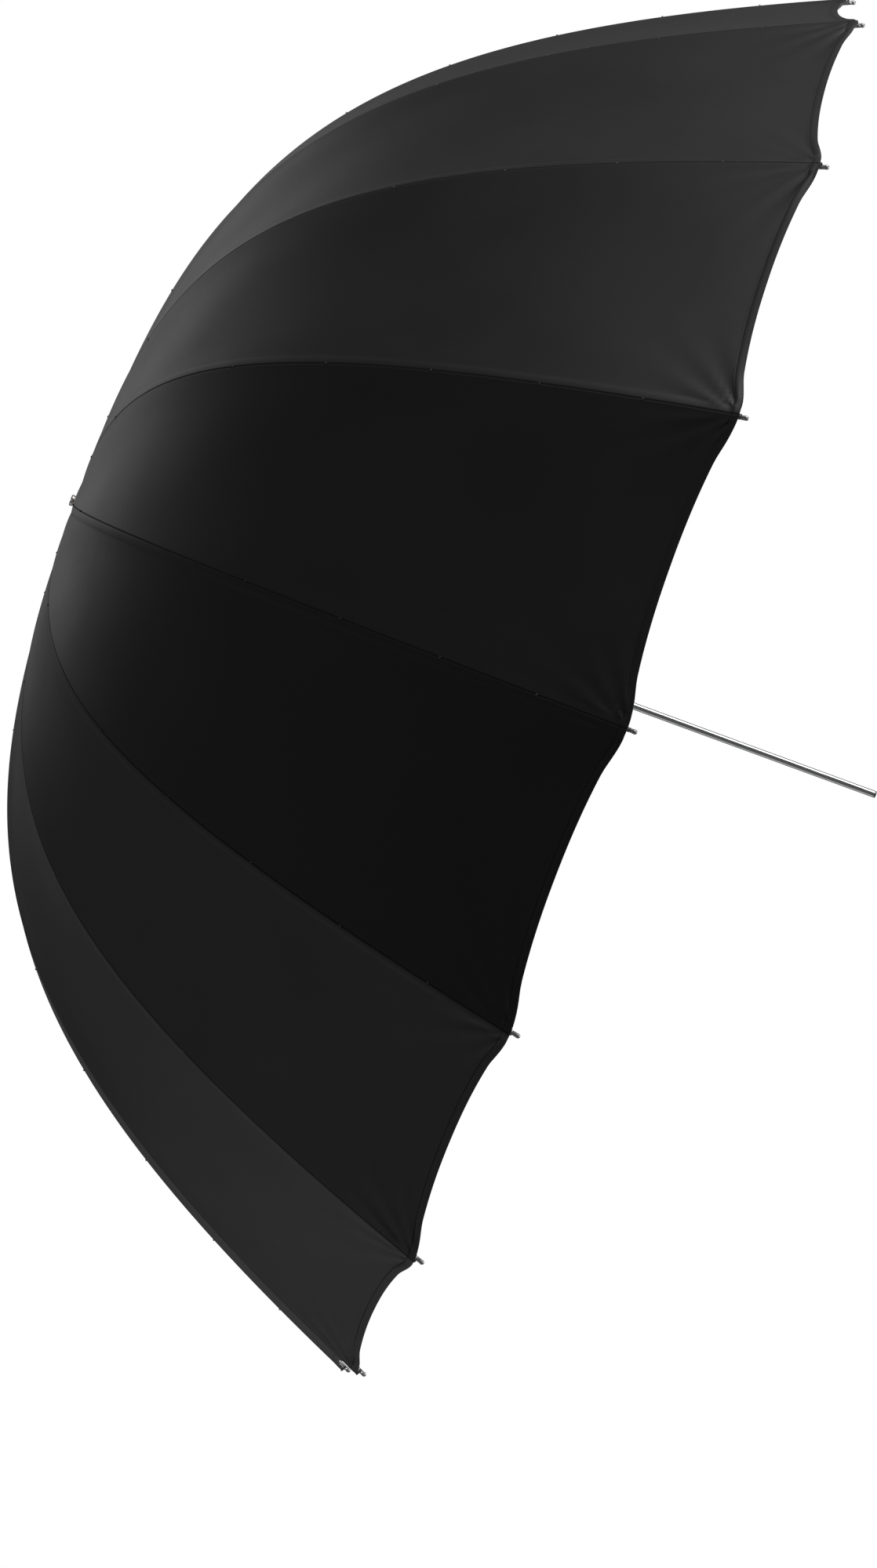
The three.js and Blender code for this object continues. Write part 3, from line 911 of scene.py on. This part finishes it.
def ribTip():
    setup = outerSetup
    neckFrom, neckTo = setup["neck"]
    bulb = setup["bulbRadius"]
    offsets = [(-setup["capBack"], 1.9 * mm), (-setup["capBack"] + 0.5 * mm, setup["capRadius"]),
               (-10.6 * mm, setup["capRadius"]), (-10.2 * mm, 2.15 * mm), (-9.6 * mm, 2.15 * mm),
               (-9.2 * mm, setup["capRadius"]), (-0.9 * mm, setup["capRadius"]), (-0.5 * mm, 2 * mm),
               (0, setup["neckRadius"]), (0.9 * mm, setup["neckRadius"]), (neckFrom, setup["eyeOutside"]),
               (neckTo, setup["eyeOutside"]), (neckTo + 0.9 * mm, bulb), (neckTo + 2.2 * mm, bulb * 0.96),
               (neckTo + 3.3 * mm, bulb * 0.74), (setup["tip"] - 0.25 * mm, bulb * 0.45),
               (setup["tip"], 0.4 * mm)]
    cap = lineRod("rib_tip", [(clothLength + gap, radius) for gap, radius in offsets], 24)
    middle = ribPoint(clothLength + (neckFrom + neckTo) / 2, ribLayout["rodDepth"])
    cutWith(cap, crossBar("hole", middle, setup["eyeRadius"], 9 * mm))
    return paint(smooth(cap), gunmetal)


# The hem's corner is lashed to the cap's neck.
def tipLashing():
    return [threadTie("lashing", clothLength + gap) for gap in outerSetup["capLoops"]]


def addOuterRibs():
    start = ribLayout["bendArc"] + innerSetup["gap"]
    rod = lineRod("outer_rod", evenStops(start, clothLength - 1 * mm, 48, ribLayout["rodRadius"]))
    paint(rod, pulledGlass)
    copyRound(rod, "rib_outer", "rib_outer")
    copyRound(ribTip(), "rib_outer", "rib_outer")
    ties = joined([tieRow("outer_ties", tieSetup["outerArcs"])] + tipLashing(), "outer_ties")
    copyRound(paint(ties, sewingThread), "rib_outer")


# Struts: folded channel, tongue and rivets.
strutSetup = {
    "cheekStart": 26 * mm,
    "tongueEnd": 34 * mm,
    "half": 2 * mm,
    "channelWidth": 4.6 * mm,
    "wall": 0.7 * mm,
    "webStop": 14 * mm,
    "tongueThickness": 3 * mm,
    "pin": 0.8 * mm,
    "runnerPin": 4.8 * mm,
    "joints": (28.5 * mm, 32 * mm),
}


def addStruts():
    setup = strutSetup
    along = (strutPivot - runnerPivot).normalized()
    across = Vector((along.y, -along.x, 0))
    if across.dot(Vector((-1, 0, 0))) < 0:
        across.negate()
    length = (strutPivot - runnerPivot).length
    start = runnerPivot + along * setup["cheekStart"]
    pieces = []
    for side in (-1, 1):
        cheek = platePiece("cheek", linkOutline(start, strutPivot, setup["half"]), setup["wall"])
        for place in (strutPivot, runnerPivot + along * setup["joints"][0]):
            cutWith(cheek, crossBar("hole", place, setup["pin"] * 1.1, 9 * mm))
        roundEdges(cheek, 0.18 * mm)
        cheek.location.z = side * (setup["channelWidth"] - setup["wall"]) / 2
        pieces.append(settle(cheek))
    webLength = length - setup["cheekStart"] - setup["webStop"]
    middle = start + along * webLength / 2 - across * (setup["half"] - setup["wall"] / 2)
    web = blockAlong("web", middle, along, (webLength, setup["wall"], setup["channelWidth"] - 0.1 * mm))
    pieces.append(roundEdges(web, 0.3 * mm))
    outline = linkOutline(runnerPivot, runnerPivot + along * setup["tongueEnd"], setup["half"])
    tongue = platePiece("tongue", outline, setup["tongueThickness"])
    pieces.append(roundEdges(tongue, 0.3 * mm))
    channel = paint(smooth(joined(pieces, "strut_channel")), zincSteel)
    copyRound(channel, "stretcher", "stretcher")
    rivets = [rivet("rivet", strutPivot, setup["pin"], setup["channelWidth"] + 0.8 * mm, 1.5 * mm),
              rivet("rivet", runnerPivot, setup["pin"], setup["runnerPin"] - 0.2 * mm, 0.8 * mm)]
    for distance in setup["joints"]:
        rivets.append(rivet("rivet", runnerPivot + along * distance, setup["pin"],
                            setup["channelWidth"] + 0.5 * mm, 1.3 * mm))
    copyRound(paint(joined(rivets, "strut_rivets"), satinNickel), "stretcher", "stretcher")


addInnerRibs()
addOuterRibs()
addStruts()
print("ribs and struts made")


# Pieces round the shaft.
hubSetup = {
    "crownTop": clothLow.x + 1.5 * mm,
    "slotWidth": 3.6 * mm,
    "bore": 4.35 * mm,
    "discRadius": 21 * mm,
    "ringWire": 0.6 * mm,
}


def cubeAt(name, middle, size):
    bpy.ops.mesh.primitive_cube_add(size=1, location=middle)
    piece = newPiece(name)
    piece.scale = size
    return settle(piece)


# A slot or groove for every rib, cut in one go.
def cutAround(piece, middle, size):
    cutters = [turnRound(cubeAt("cutter", middle, size), index) for index in range(ribTotal)]
    return cutWith(piece, joined(cutters, "cutters"))


def ringPiece(name, x, wire, radius=ribLayout["pivotRadius"]):
    bpy.ops.mesh.primitive_torus_add(major_radius=radius, minor_radius=wire, major_segments=96,
                                     minor_segments=12, location=(x, 0, 0), rotation=(0, math.pi / 2, 0))
    return smooth(settle(newPiece(name)), 60)


def rideOn(piece, body, node):
    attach(piece, body)
    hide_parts(node)


def addCrown():
    top = hubSetup["crownTop"]
    disc = hubSetup["discRadius"]
    profile = [(top - 8 * mm, 0), (top - 8 * mm, 3 * mm), (top, 3 * mm), (top, disc), (top + 10 * mm, disc),
               (top + 10.4 * mm, 17 * mm), (top + 12 * mm, 10 * mm), (top + 13 * mm, 9.4 * mm),
               (top + 18 * mm, 9 * mm), (top + 18 * mm, 4.3 * mm), (top + 6 * mm, 4.3 * mm),
               (top + 6 * mm, 0)]
    crown = turnedPiece("crown_body", profile, 96)
    cutAround(crown, (top + 6 * mm, -23.5 * mm, 0), (14.5 * mm, 20 * mm, hubSetup["slotWidth"]))
    cutWith(crown, ringPiece("groove", ribPivot.x, hubSetup["ringWire"] + 0.3 * mm))
    roundEdges(crown, 0.3 * mm, 2, 40)
    paint(smooth(crown), mouldedNylon)
    rideOn(crown, "shaft", "crown")
    ring = paint(ringPiece("crown_wire", ribPivot.x, hubSetup["ringWire"]), zincSteel)
    rideOn(ring, "shaft", "crown_ring")


def addFerrule():
    back = clothLow.x - 0.3 * mm
    profile = [(back - 8.2 * mm, 0), (back - 8.2 * mm, 5.2 * mm), (back - 7.8 * mm, 6.1 * mm),
               (back - 7.3 * mm, 6.4 * mm), (back - 4.6 * mm, 6.4 * mm), (back - 4.2 * mm, 5.7 * mm),
               (back - 3.4 * mm, 5.7 * mm), (back - 3.1 * mm, 7.7 * mm), (back - 2.7 * mm, 8 * mm),
               (back, 8 * mm), (back, 3.3 * mm), (back - 6.5 * mm, 3.3 * mm), (back - 6.5 * mm, 0)]
    ferrule = turnedPiece("ferrule_nut", profile, 96)
    cutWith(ferrule, cubeAt("slot", (back - 8.2 * mm, 0, 0), (2 * mm, 16 * mm, 1.3 * mm)))
    roundEdges(ferrule, 0.15 * mm, 2, 40)
    rideOn(paint(smooth(ferrule), satinNickel), "shaft", "ferrule")


shaftSetup = {
    "radius": 4 * mm,
    "bore": 3.4 * mm,
    "end": 102 * mm,
    "plugDepth": 12 * mm,
    "catchStep": 46.3 * mm,  # beyond the runner's pivots
    "slotLength": 22 * mm,
    "slotWidth": 2.2 * mm,
}


def addShaft():
    setup = shaftSetup
    step = runnerPivot.x + setup["catchStep"]
    start = hubSetup["crownTop"] + 6.3 * mm
    end = setup["end"] - 1.8 * mm
    profile = [(start, setup["bore"]), (start, setup["radius"]), (end, setup["radius"]), (end, setup["bore"]),
               (start, setup["bore"])]
    tube = turnedPiece("shaft_tube_chrome", profile, 64)
    cutWith(tube, cubeAt("slot", (step - 1 * mm + setup["slotLength"] / 2, 0, -setup["radius"]),
                         (setup["slotLength"], setup["slotWidth"], 4 * mm)))
    rideOn(paint(smooth(tube), chromeTube), "shaft", "shaft_tube")
    last = setup["end"]
    inside = last - setup["plugDepth"]
    profile = [(inside, 0), (inside, 3.1 * mm), (last - 1.5 * mm, 3.1 * mm), (last - 1.5 * mm, 4 * mm),
               (last - 0.9 * mm, 4 * mm), (last - 0.35 * mm, 3.6 * mm), (last, 2.8 * mm), (last, 0)]
    plug = paint(smooth(turnedPiece("end_cap", profile, 64)), mouldedNylon)
    rideOn(plug, "shaft", "end_plug")


def addCatch():
    radius = shaftSetup["radius"]
    step = runnerPivot.x + shaftSetup["catchStep"]
    outline = [(0, -1.6), (0, 2), (0.5, 2.15), (2, 2.2), (18, -0.2), (20, -1), (40, -1), (40, -1.6)]
    points = [(step + x * mm, -radius - y * mm) for x, y in outline]
    catch = platePiece("catch_wedge", points, 1.4 * mm)
    catch.data.transform(Matrix.Rotation(math.pi / 2, 4, "X"))
    roundEdges(catch, 0.18 * mm)
    rideOn(paint(smooth(catch), zincSteel), "catch", "catch_spring")


runnerSetup = {"grips": 24, "gripRadius": 0.75 * mm, "collar": (33 * mm, 44 * mm, 11.5 * mm)}


def addRunner():
    x = runnerPivot.x
    bore = hubSetup["bore"]
    disc = hubSetup["discRadius"]
    start, end, collar = runnerSetup["collar"]
    profile = [(x - 9 * mm, bore), (x - 9 * mm, 9 * mm), (x - 5.5 * mm, 10 * mm), (x - 5.5 * mm, disc),
               (x + 5.5 * mm, disc), (x + 5.5 * mm, 10 * mm), (x + 9 * mm, 9 * mm), (x + 12 * mm, 8.6 * mm),
               (x + 27 * mm, 8.6 * mm), (x + 30 * mm, 9 * mm), (x + start, collar - 0.4 * mm),
               (x + end, collar - 0.4 * mm), (x + 46 * mm, 10 * mm), (x + 46 * mm, bore), (x - 9 * mm, bore)]
    runner = turnedPiece("runner_body", profile, 96)
    cutAround(runner, (x, -22.5 * mm, 0), (14 * mm, 20 * mm, hubSetup["slotWidth"]))
    pin = strutSetup["pin"] + 0.3 * mm
    cutAround(runner, (x, -ribLayout["pivotRadius"], 0),
              (14 * mm, 2 * pin, strutSetup["runnerPin"] + 0.6 * mm))
    roundEdges(runner, 0.25 * mm, 2, 40)
    ridges = []
    for index in range(runnerSetup["grips"]):
        angle = 2 * math.pi * index / runnerSetup["grips"]
        reach = collar - runnerSetup["gripRadius"]
        place = (x + (start + end) / 2, reach * math.cos(angle), reach * math.sin(angle))
        bpy.ops.mesh.primitive_uv_sphere_add(segments=10, ring_count=8, radius=runnerSetup["gripRadius"],
                                             location=place, rotation=(0, math.pi / 2, 0))
        ridge = newPiece("ridge")
        ridge.scale = (1, 1, 6.5)
        ridges.append(settle(ridge))
    rideOn(paint(smooth(runner), mouldedNylon), "runner", "runner")
    grips = paint(smooth(joined(ridges, "runner_grips"), 60), mouldedNylon)
    rideOn(grips, "runner", "runner")


addCrown()
addFerrule()
addShaft()
addCatch()
addRunner()
print("hubs, shaft and catch made")


# The floor lies well below, clear of the main view.
stageSetup = {"floorHeight": -2.2, "floorRadius": 1.5}


def addStage():
    bpy.ops.mesh.primitive_circle_add(vertices=96, radius=stageSetup["floorRadius"], fill_type="NGON",
                                      location=(-0.4, 0, stageSetup["floorHeight"]))
    floor = newPiece("floor")
    paint(floor, newMaterial("paleFloor", **{"Roughness": 0.7, "Base Color": (0.85, 0.85, 0.86, 1)})[0])
    settle(floor)


lightSetup = {
    "top": {"place": (-0.3, -0.9, 3.2), "size": 2.6, "power": 64},
    "behind": {"place": (-3.1, 2.3, 0.7), "size": 2.6, "power": 13},
    "below": {"place": (-2.4, -0.4, -1.9), "size": 1.8, "power": 1.6},
    "inside": {"place": (2.6, -0.9, 0.9), "size": 2.4, "power": 60},
}


def addLights():
    middle = Vector((-0.5, 0, 0))
    for name, light in lightSetup.items():
        data = bpy.data.lights.new(name, "AREA")
        data.size = light["size"]
        data.energy = light["power"]
        lamp = bpy.data.objects.new(name, data)
        lamp.location = light["place"]
        lamp.rotation_euler = (middle - lamp.location).to_track_quat("-Z", "Y").to_euler()
        bpy.context.collection.objects.link(lamp)


# White where the camera looks past the object, and a soft grey room for everything else.
def addRoom():
    world = bpy.data.worlds.new("room")
    bpy.context.scene.world = world
    world.use_nodes = True
    tree = world.node_tree
    room = tree.nodes["Background"]
    room.inputs["Color"].default_value = (1, 0.99, 0.97, 1)
    room.inputs["Strength"].default_value = 0.1
    white = tree.nodes.new("ShaderNodeBackground")
    white.inputs["Color"].default_value = (1, 1, 1, 1)
    white.inputs["Strength"].default_value = 1.0
    path = tree.nodes.new("ShaderNodeLightPath")
    mix = tree.nodes.new("ShaderNodeMixShader")
    tree.links.new(path.outputs["Is Camera Ray"], mix.inputs[0])
    tree.links.new(room.outputs[0], mix.inputs[1])
    tree.links.new(white.outputs[0], mix.inputs[2])
    tree.links.new(mix.outputs[0], tree.nodes["World Output"].inputs["Surface"])
    bpy.context.scene.view_settings.view_transform = "Standard"


addStage()
addLights()
addRoom()
print("stage set")
